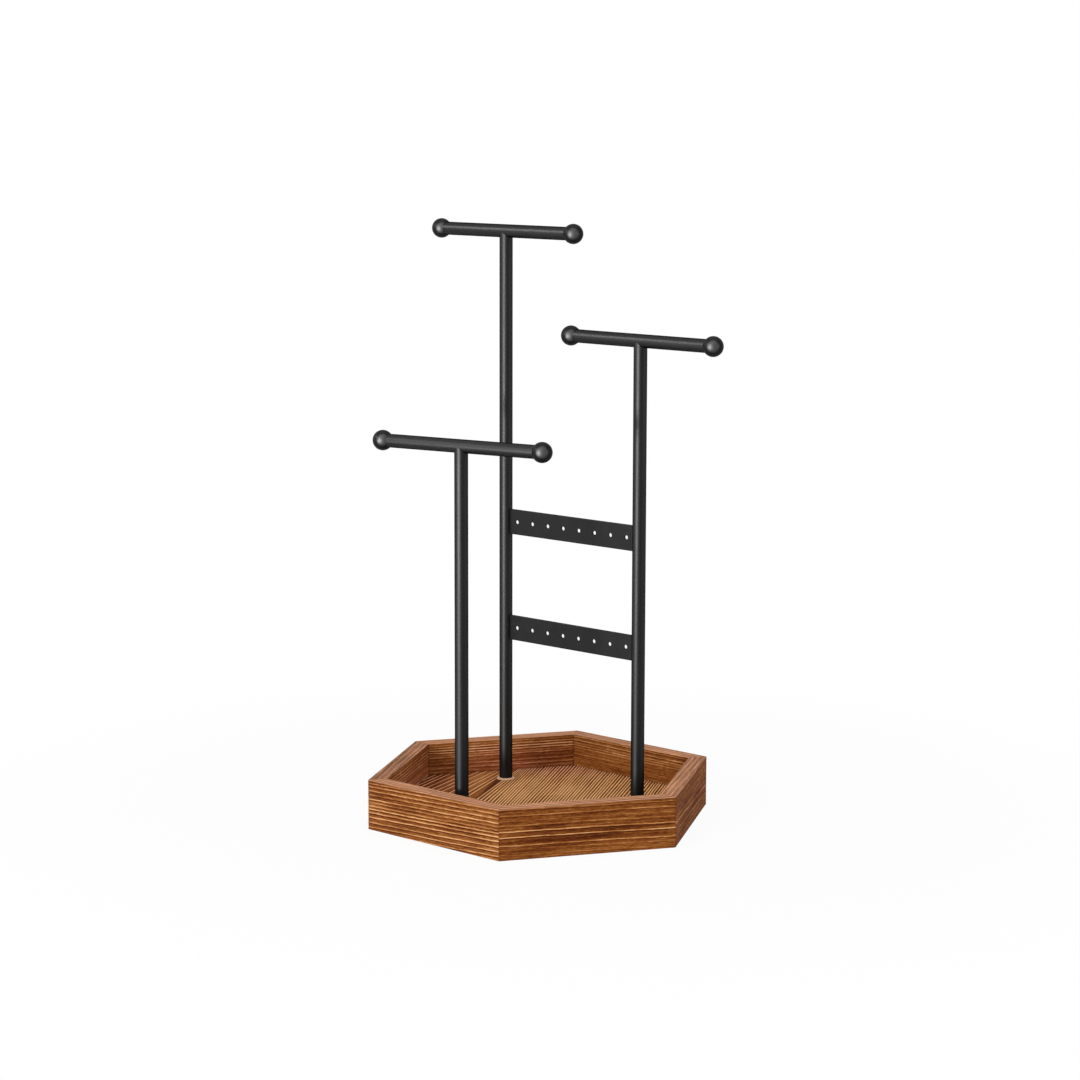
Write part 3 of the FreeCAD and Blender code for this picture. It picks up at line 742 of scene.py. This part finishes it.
def floorTree(size):
    tree, given = newGeometryTree("floorPanel", [
        ("Growth Lines", "object"), ("Holes", "object"), ("Hole Radius", "number"), ("Apothem", "number"),
        ("Underside", "number"), ("Thickness", "number"), ("Along Count", "count"), ("Across Count", "count"),
        ("Grain Turn", "number"), ("Fan", "number"), ("Fan From", "number"), ("Fan To", "number"),
        ("Fan Pivot", "number"), ("Lowest Row", "number"), ("Wander", "number"), ("Seed", "number"),
        ("Line Width", "number"), ("Contrast", "number"), ("Relief", "number"), ("Wood", "material")])
    lines = objectGeometry(tree, given["Growth Lines"])

    # a block from -1 to 1, drawn out into the hexagon, its length along the grain
    block = addNode(tree, "GeometryNodeMeshCube", {
        "Size": (2, 2, 1), "Vertices X": given["Along Count"], "Vertices Y": given["Across Count"],
        "Vertices Z": 2})
    u, v, w = splitXyz(tree, position(tree))

    # each row of points lies on one growth line, so the rows fan out as the grain does
    below = calc(tree, "MINIMUM", v, 0.0)
    drop = calc(tree, "SUBTRACT", given["Lowest Row"], given["Apothem"])
    row = calc(tree, "MULTIPLY_ADD", below, drop, calc(tree, "MULTIPLY", v, given["Apothem"]))
    slope = ramp(tree, row, given["Fan From"], given["Fan To"], 0.0, given["Fan"], smooth=False)
    slope = calc(tree, "MAXIMUM", nearlyFlat, slope)
    minusRow = calc(tree, "MULTIPLY", calc(tree, "ABSOLUTE", row), -1.0)
    reach = calc(tree, "MULTIPLY_ADD", given["Apothem"], 2.0, minusRow)
    reach = calc(tree, "SUBTRACT", reach, calc(tree, "MULTIPLY", slope, given["Fan Pivot"]))
    right = calc(tree, "DIVIDE", reach, calc(tree, "SUBTRACT", math.sqrt(3), slope))
    left = calc(tree, "DIVIDE", calc(tree, "MULTIPLY", reach, -1.0), calc(tree, "ADD", math.sqrt(3), slope))
    atFoot = calc(tree, "DIVIDE", calc(tree, "ADD", given["Apothem"], row), slope)
    left = calc(tree, "MAXIMUM", left, calc(tree, "SUBTRACT", given["Fan Pivot"], atFoot))
    share = calc(tree, "MULTIPLY_ADD", u, 0.5, 0.5)
    along = calc(tree, "MULTIPLY_ADD", calc(tree, "SUBTRACT", right, left), share, left)
    across = calc(tree, "MULTIPLY_ADD", slope, calc(tree, "SUBTRACT", along, given["Fan Pivot"]), row)
    height = calc(tree, "MULTIPLY_ADD", calc(tree, "ADD", w, 0.5), given["Thickness"], given["Underside"])
    hexagon = joinXyz(tree, along, calc(tree, "MULTIPLY", across, -1.0), height)
    panel = moved(tree, block.outputs[0], Position=turnedAboutZ(tree, hexagon, given["Grain Turn"]))
    drill = addNode(tree, "GeometryNodeMeshCylinder", {
        "Vertices": size["holeSides"], "Radius": given["Hole Radius"], "Depth": size["drillLength"] * mm})
    panel = drilled(tree, panel, objectGeometry(tree, given["Holes"]), drill.outputs[0])

    # the growth line that a point lies on: straight rows, then turning ones, then rows of one slope
    back = turnedAboutZ(tree, position(tree), calc(tree, "MULTIPLY", given["Grain Turn"], -1.0))
    along, minusAcross, z = splitXyz(tree, back)
    across = calc(tree, "MULTIPLY", minusAcross, -1.0)
    swing = calc(tree, "MULTIPLY", given["Fan"], calc(tree, "SUBTRACT", along, given["Fan Pivot"]))
    easing = calc(tree, "DIVIDE", swing, calc(tree, "SUBTRACT", given["Fan From"], given["Fan To"]))
    turning = calc(tree, "SUBTRACT", across, calc(tree, "MULTIPLY", easing, given["Fan From"]))
    turning = calc(tree, "DIVIDE", turning, calc(tree, "SUBTRACT", 1.0, easing))
    rings = calc(tree, "SUBTRACT", across, swing)
    for nextRings, limit in ((turning, "Fan To"), (across, "Fan From")):
        past = calc(tree, "GREATER_THAN", nextRings, given[limit])
        rings = calc(tree, "MULTIPLY_ADD", past, calc(tree, "SUBTRACT", nextRings, rings), rings)
    rings = wandering(tree, rings, (along, across, 0.0), size["waves"], given["Wander"], given["Seed"])
    # shade: the painted shadow under the nearest line
    line, shade = nearestLine(tree, lines, rings, given["Line Width"])

    low, high = size["topFrom"]
    hollow = calc(tree, "MULTIPLY", given["Relief"], calc(tree, "SUBTRACT", 1.0, line))
    hollow = calc(tree, "MULTIPLY", hollow, ramp(tree, z, low * mm, high * mm))
    # the contrast strengthens the lines and their painted shadow alike
    line, shade = (calc(tree, "MULTIPLY", value, given["Contrast"]) for value in (line, shade))
    panel = storeGrain(tree, panel, joinXyz(tree, along, across, z), rings, line, shade)
    panel = moved(tree, panel, Offset=joinXyz(tree, 0.0, 0.0, calc(tree, "MULTIPLY", hollow, -1.0)))
    finishTree(tree, panel, given["Wood"])
    return tree


def makeFloorPanel(size):
    lines = growthLines("floorLines", floorLines(size))
    mesh = bpy.data.meshes.new("screwHoles")
    screws = [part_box(post + "_screw") for post in size["posts"]]
    mesh.from_pydata([((low[0] + high[0]) / 2, (low[1] + high[1]) / 2, 0) for low, high in screws], [], [])
    holes = bpy.data.objects.new("screwHoles", mesh)
    scene.collection.objects.link(holes)
    corner = size["apothem"] / math.sqrt(3)
    lowestRow = size["apothem"] + size["fan"] * (corner - size["fanPivot"]) - size["rowSpare"]
    panel = makeByNodes("floor_panel", floorTree(size), {
        "Growth Lines": lines, "Holes": holes, "Hole Radius": size["holeDiameter"] / 2 * mm,
        "Apothem": size["apothem"] * mm, "Underside": size["underside"] * mm, "Thickness": size["thickness"] * mm,
        "Along Count": size["alongCount"], "Across Count": size["acrossCount"],
        "Grain Turn": math.radians(size["grainTurn"]), "Fan": size["fan"], "Fan From": size["fanFrom"] * mm,
        "Fan To": size["fanTo"] * mm, "Fan Pivot": size["fanPivot"] * mm, "Lowest Row": lowestRow * mm,
        "Wander": size["wander"] * mm, "Seed": size["seed"], "Line Width": size["lineWidth"] * mm,
        "Contrast": size["contrast"], "Relief": size["relief"] * mm, "Wood": woodFinish})
    # scorch marks with painted light and shade, then the painted bounce tint
    paintSpots(panel, "scorchAndPaintedLight", size["spots"], size["tone"])
    paintSpots(panel, "paintedBounceTint", size["paintedBounceTint"])
    smoothTo(panel, woodCrease)
    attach(panel, "stand")
    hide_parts("tray_floor")
    bpy.data.objects.remove(lines)
    bpy.data.objects.remove(holes)


makeFloorPanel(floorPanel)
print("floor panel made")


# the two perforated strips for earrings

earringStrip = {
    "endEase": 0.02,           # mm short of the solid's ends, inside the posts
    "edgeRound": 0.30,
    "holeCount": 8,
    "holePitch": 12.6,
    "holeDiameter": 2.4,
    "countersink": 0.16,
    "holeSides": 36,
    "spareDepth": 0.1,         # mm that the drill goes past each face
    "sparePoint": 0.15,        # mm from each rounded edge to the next point
    "edgeSteps": 4,
}


def stripSection(box, size):  # runs counterclockwise seen from +X, with a spare point beside each rounded edge
    (_, y0, z0), (_, y1, z1) = [[c / mm for c in corner] for corner in box]
    radius, spare, steps = size["edgeRound"], size["sparePoint"], size["edgeSteps"]
    low, high = z0 + radius, z1 - radius
    points = []

    def corner(y, z, first):
        for i in range(steps + 1):
            angle = math.radians(first + 90 * i / steps)
            points.append((y + radius * math.cos(angle), z + radius * math.sin(angle)))

    corner(y1 - radius, low, -90)
    points.extend([(y1, low + spare), (y1, high - spare)])
    corner(y1 - radius, high, 0)
    corner(y0 + radius, high, 90)
    points.extend([(y0, high - spare), (y0, low + spare)])
    corner(y0 + radius, low, 180)
    return points


def stripTree():
    tree, given = newGeometryTree("earringStrip", [
        ("Section", "object"), ("Half Length", "number"), ("Hole Count", "count"), ("Hole Pitch", "number"),
        ("Hole Radius", "number"), ("Countersink", "number"), ("Spare Depth", "number"), ("Hole Sides", "count"),
        ("Thickness", "number"), ("Middle Y", "number"), ("Middle Z", "number"), ("Coat", "material")])
    backwards = joinXyz(tree, calc(tree, "MULTIPLY", given["Half Length"], -1.0), 0.0, 0.0)
    forwards = joinXyz(tree, given["Half Length"], 0.0, 0.0)
    path = addNode(tree, "GeometryNodeCurvePrimitiveLine", {"Start": backwards, "End": forwards}).outputs[0]
    path = capture(tree, path, x=splitXyz(tree, position(tree))[0])
    profile = capture(tree, objectGeometry(tree, given["Section"]), spot=position(tree))
    strip = swept(tree, path["Geometry"], profile["Geometry"])
    y, z, _ = splitXyz(tree, profile["spot"])
    strip = moved(tree, strip, Position=joinXyz(tree, path["x"], y, z))

    # the drill: a straight bore that opens to a countersink at both faces. Its rings of points lie at 0.2,
    # 0.6 and 1 of its half length, and are drawn to the bore's middle, its shoulders and its mouths
    drill = addNode(tree, "GeometryNodeMeshCylinder", {
        "Vertices": given["Hole Sides"], "Side Segments": 5, "Radius": 1.0, "Depth": 2.0}, fill_type="NGON")
    x, y, z = splitXyz(tree, position(tree))
    atFace = calc(tree, "GREATER_THAN", calc(tree, "ABSOLUTE", z), 0.8)
    inMiddle = calc(tree, "LESS_THAN", calc(tree, "ABSOLUTE", z), 0.4)
    flare = calc(tree, "ADD", given["Countersink"], given["Spare Depth"])
    shoulder = calc(tree, "SUBTRACT", calc(tree, "MULTIPLY", given["Thickness"], 0.5), given["Countersink"])
    tall = calc(tree, "MULTIPLY", calc(tree, "SIGN", z), calc(tree, "MULTIPLY_ADD", atFace, flare, shoulder))
    tall = calc(tree, "MULTIPLY", tall, calc(tree, "MULTIPLY_ADD", inMiddle, -0.5, 1.0))
    wide = calc(tree, "MULTIPLY_ADD", atFace, flare, given["Hole Radius"])
    shaped = joinXyz(tree, calc(tree, "MULTIPLY", x, wide), calc(tree, "MULTIPLY", y, wide), tall)
    drill = moved(tree, drill.outputs[0], Position=shaped)

    gaps = calc(tree, "SUBTRACT", given["Hole Count"], 1.0)
    firstHole = calc(tree, "MULTIPLY", calc(tree, "MULTIPLY", gaps, -0.5), given["Hole Pitch"])
    start = joinXyz(tree, firstHole, given["Middle Y"], given["Middle Z"])
    step = joinXyz(tree, given["Hole Pitch"], 0.0, 0.0)
    row = addNode(tree, "GeometryNodeMeshLine", {
        "Count": given["Hole Count"], "Start Location": start, "Offset": step})
    strip = drilled(tree, strip, row.outputs[0], drill, Rotation=(math.pi / 2, 0, 0))
    finishTree(tree, strip, given["Coat"])
    return tree


def makeStrips(size):
    tree = stripTree()
    for level in ("lower", "upper"):
        low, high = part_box("earring_strip_" + level)
        section = sectionCurve("section_" + level, stripSection((low, high), size))
        strip = makeByNodes("strip_" + level, tree, {
            "Section": section, "Half Length": (high[0] - low[0]) / 2 - size["endEase"] * mm,
            "Hole Count": size["holeCount"], "Hole Pitch": size["holePitch"] * mm,
            "Hole Radius": size["holeDiameter"] / 2 * mm, "Countersink": size["countersink"] * mm,
            "Spare Depth": size["spareDepth"] * mm, "Hole Sides": size["holeSides"], "Thickness": high[1] - low[1],
            "Middle Y": (low[1] + high[1]) / 2, "Middle Z": (low[2] + high[2]) / 2, "Coat": stripFinish})
        smoothTo(strip, stripCrease)
        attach(strip, "stand")
        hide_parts("earring_strip_" + level)
        bpy.data.objects.remove(section)


makeStrips(earringStrip)
print("earring strips made")


# the parts that keep their solids get their finishes

def finishSolids():
    for name, part in nodes.items():
        if name.endswith("seat_ring"):
            finish = ringFinish
        elif name.endswith(("screw", "washer", "foot_plug")):
            finish = steelFinish
        elif name.startswith("tray"):
            finish = woodFinish
        elif "_ball_" in name:
            finish = ballFinish
        else:
            finish = coatFinish
        part.data.materials.clear()
        part.data.materials.append(finish)


finishSolids()
print("solids finished")


# the pale floor it stands on, and the studio round it

studio = {
    "floorSize": 6.0,
    "floorColour": (0.68, 0.68, 0.68),
    "floorRoughness": 0.9,
    "floorWhite": (0.93, 1.0),  # share of plain white that the camera sees, near the stand and away from it
    "floorFade": (0.18, 0.50),  # m from the centre
    "ambient": 0.26,
    "aim": 0.12,               # m above the table, where the lamps point
    "lamps": [
        # name, azimuth, height above the table, distance, width, height, watts, lights by gloss only
        ("frontLamp", 1.5, 0.50, 1.50, 0.60, 0.60, 16, False),
        ("fillLamp", 106, 0.44, 1.60, 0.90, 0.80, 6.5, False),
        ("topLamp", 40, 1.70, 0.20, 1.6, 1.6, 21, False),
        ("sideStrip", -1, 0.08, 1.30, 0.56, 0.14, 37, True),
        ("ballLamp", 5, 0.78, 1.50, 0.50, 0.50, 8, True),
        ("barStrip", -46, 0.95, 1.50, 0.34, 0.30, 23, True),
    ],
}


def seenDirectly(tree):  # 1 for what the camera sees, straight or in gloss
    path = tree.nodes.new("ShaderNodeLightPath").outputs
    seen = calc(tree, "ADD", path["Is Camera Ray"], path["Is Glossy Ray"])
    seen = calc(tree, "ADD", seen, path["Is Transmission Ray"])
    return calc(tree, "MINIMUM", seen, 1.0)


def makeStudio(setup):
    half = setup["floorSize"] / 2
    mesh = bpy.data.meshes.new("studioFloor")
    corners = [(-half, -half, 0), (half, -half, 0), (half, half, 0), (-half, half, 0)]
    mesh.from_pydata(corners, [], [(0, 1, 2, 3)])
    floor = bpy.data.objects.new("studioFloor", mesh)
    scene.collection.objects.link(floor)
    material, tree, shader = newMaterial("studioFloor")
    shader.inputs["Base Color"].default_value = (*setup["floorColour"], 1)
    shader.inputs["Roughness"].default_value = setup["floorRoughness"]
    white = addNode(tree, "ShaderNodeEmission", {"Strength": 1.0})
    mix = tree.nodes.new("ShaderNodeMixShader")
    away = addNode(tree, "ShaderNodeVectorMath", operation="LENGTH")
    tree.links.new(objectPlace(tree), away.inputs[0])
    whiteness = ramp(tree, away.outputs["Value"], *setup["floorFade"], *setup["floorWhite"])
    tree.links.new(calc(tree, "MULTIPLY", seenDirectly(tree), whiteness), mix.inputs[0])
    tree.links.new(shader.outputs[0], mix.inputs[1])
    tree.links.new(white.outputs[0], mix.inputs[2])
    tree.links.new(mix.outputs[0], tree.nodes["Material Output"].inputs["Surface"])
    mesh.materials.append(material)

    world = bpy.data.worlds.new("studioWorld")
    scene.world = world
    world.use_nodes = True
    tree = world.node_tree
    back = tree.nodes["Background"]
    back.inputs["Color"].default_value = (1, 1, 1, 1)
    strength = ramp(tree, seenDirectly(tree), 0.0, 1.0, setup["ambient"], 1.0, smooth=False)
    tree.links.new(strength, back.inputs["Strength"])

    for name, azimuth, above, distance, width, height, watts, glossOnly in setup["lamps"]:
        lamp = bpy.data.lights.new(name, "AREA")
        lamp.shape = "RECTANGLE"
        lamp.size, lamp.size_y, lamp.energy = width, height, watts
        holder = bpy.data.objects.new(name, lamp)
        holder.visible_diffuse = not glossOnly
        scene.collection.objects.link(holder)
        turn = math.radians(azimuth)
        holder.location = (distance * math.sin(turn), -distance * math.cos(turn), above)
        tip = math.atan2(above - setup["aim"], distance)
        holder.rotation_euler = (math.pi / 2 - tip, 0, turn)


makeStudio(studio)
print("studio lit")


cameraView = {
    "place": (1.14946, -1.24470, 0.43016),  # m
    "turn": 42.7402,           # degrees
    "dip": 8.7862,
    "roll": 0.1282,
    "lens": 96.42,             # mm
    "sensor": 36.0,
    "clip": (0.05, 20),
}


def makeCamera(view):
    camera = bpy.data.cameras.new("camera")
    camera.lens, camera.sensor_width = view["lens"], view["sensor"]
    camera.clip_start, camera.clip_end = view["clip"]
    holder = bpy.data.objects.new("camera", camera)
    scene.collection.objects.link(holder)
    turn = (Matrix.Rotation(math.radians(view["turn"]), 4, "Z")
            @ Matrix.Rotation(math.radians(90 - view["dip"]), 4, "X")
            @ Matrix.Rotation(math.radians(view["roll"]), 4, "Z"))
    holder.matrix_world = Matrix.Translation(view["place"]) @ turn
    scene.camera = holder


makeCamera(cameraView)
scene.view_settings.view_transform = "Standard"
print("camera set")

bpy.context.view_layer.update()
